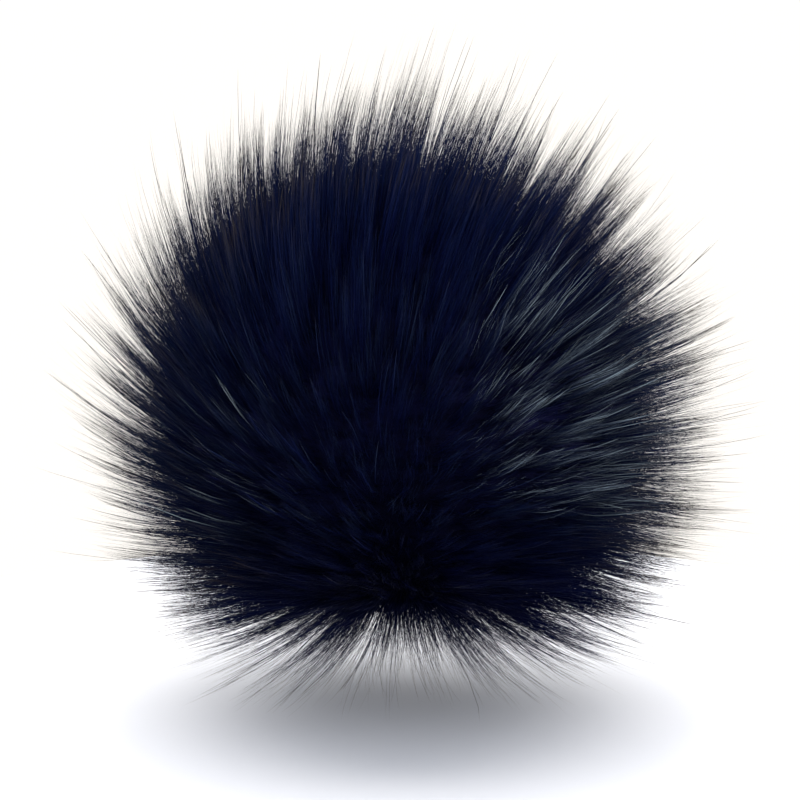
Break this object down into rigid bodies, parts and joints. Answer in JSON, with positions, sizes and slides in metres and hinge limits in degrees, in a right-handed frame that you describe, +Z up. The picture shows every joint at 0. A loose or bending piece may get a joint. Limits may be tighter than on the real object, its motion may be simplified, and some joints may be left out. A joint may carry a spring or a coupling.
{
  "type": "faux fur pom pom",
  "caption": "Round pom pom of long dark faux fur, its pile swept up from a gathered spot under the front, resting on its lowest locks.",
  "frame": {"origin": "on the resting surface, at the middle of the flat end of the foot lock, under the ball and 1 mm to the right of its centre", "axes": "+Z up, -Y towards the front, the side that the gathered spot is nearer to, +X to the right seen from the front"},
  "size_m": [0.1374, 0.1331, 0.1314],
  "materials": {
    "fur": "long fine pile, very dark navy at the root and grey-brown at the thin tips, with a soft sheen"
  },
  "bodies": {
    "root": {"fur_ball": "fur"}
  },
  "joints": []
}
